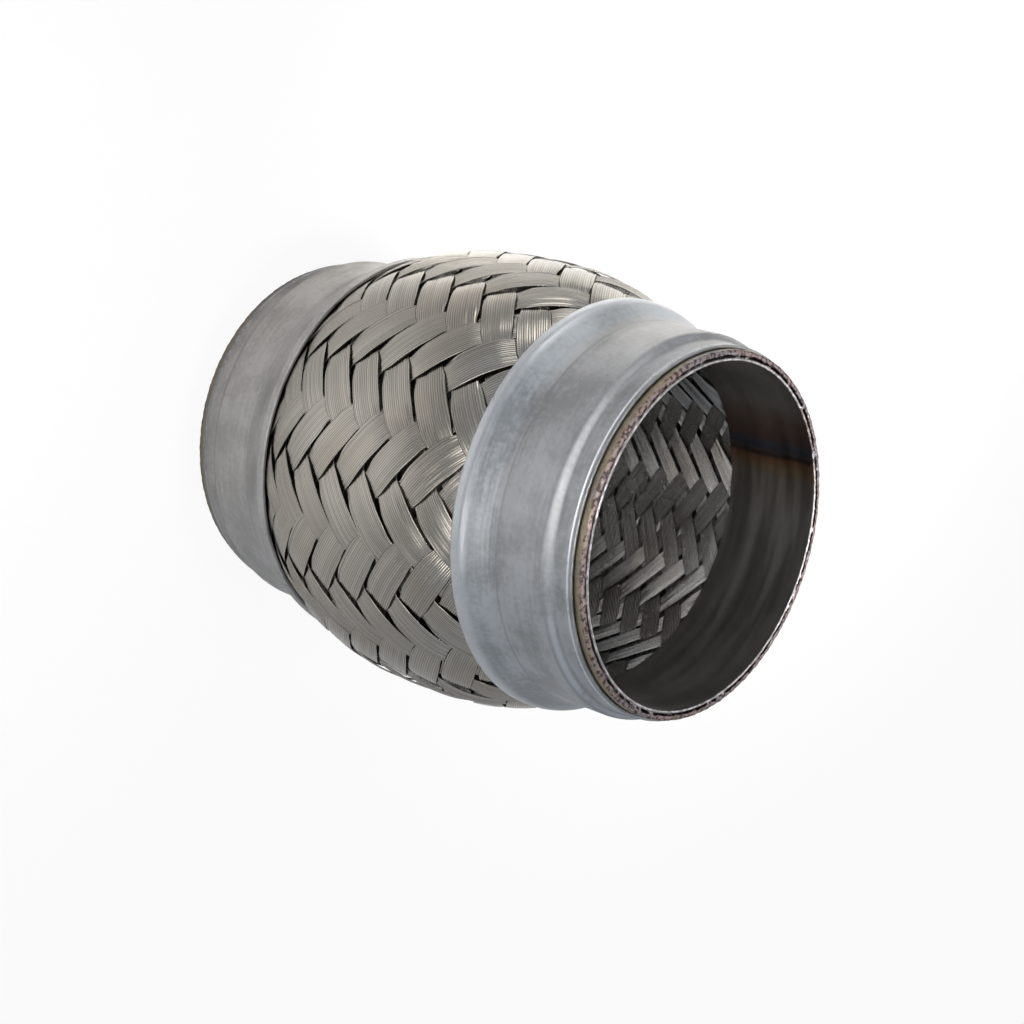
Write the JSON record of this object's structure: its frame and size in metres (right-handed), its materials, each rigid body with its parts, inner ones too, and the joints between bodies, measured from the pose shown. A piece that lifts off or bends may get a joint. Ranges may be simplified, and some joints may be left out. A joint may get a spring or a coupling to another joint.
{
  "type": "exhaust flex pipe",
  "caption": "Braided exhaust flex pipe: a thin bellows between inner and outer wire braids, with flared steel end caps and plain sleeves whose bores take exhaust pipes.",
  "frame": {"origin": "centre of the bottom rim, on the surface that the pipe stands on", "axes": "+Z along the pipe towards the top mouth, which is the near mouth in the picture"},
  "size_m": [0.086, 0.086, 0.1016],
  "materials": {
    "cap_steel": "spun aluminised steel, satin with faint mottling",
    "braid_wire": "bundled fine stainless wire, bright along the wires",
    "bellows_steel": "thin formed stainless sheet",
    "inner_braid_wire": "bundled fine stainless wire, in shade",
    "sleeve_steel": "rolled stainless tube with weld tints",
    "weld_metal": "rough fused rim with heat tints"
  },
  "bodies": {
    "root": {"top_cap": "cap_steel", "bottom_cap": "cap_steel", "outer_braid": "braid_wire", "bellows_outer_ply": "bellows_steel", "bellows_inner_ply": "bellows_steel", "inner_braid": "inner_braid_wire", "top_sleeve": "sleeve_steel", "bottom_sleeve": "sleeve_steel", "top_rim_weld": "weld_metal", "bottom_rim_weld": "weld_metal"}
  },
  "joints": []
}
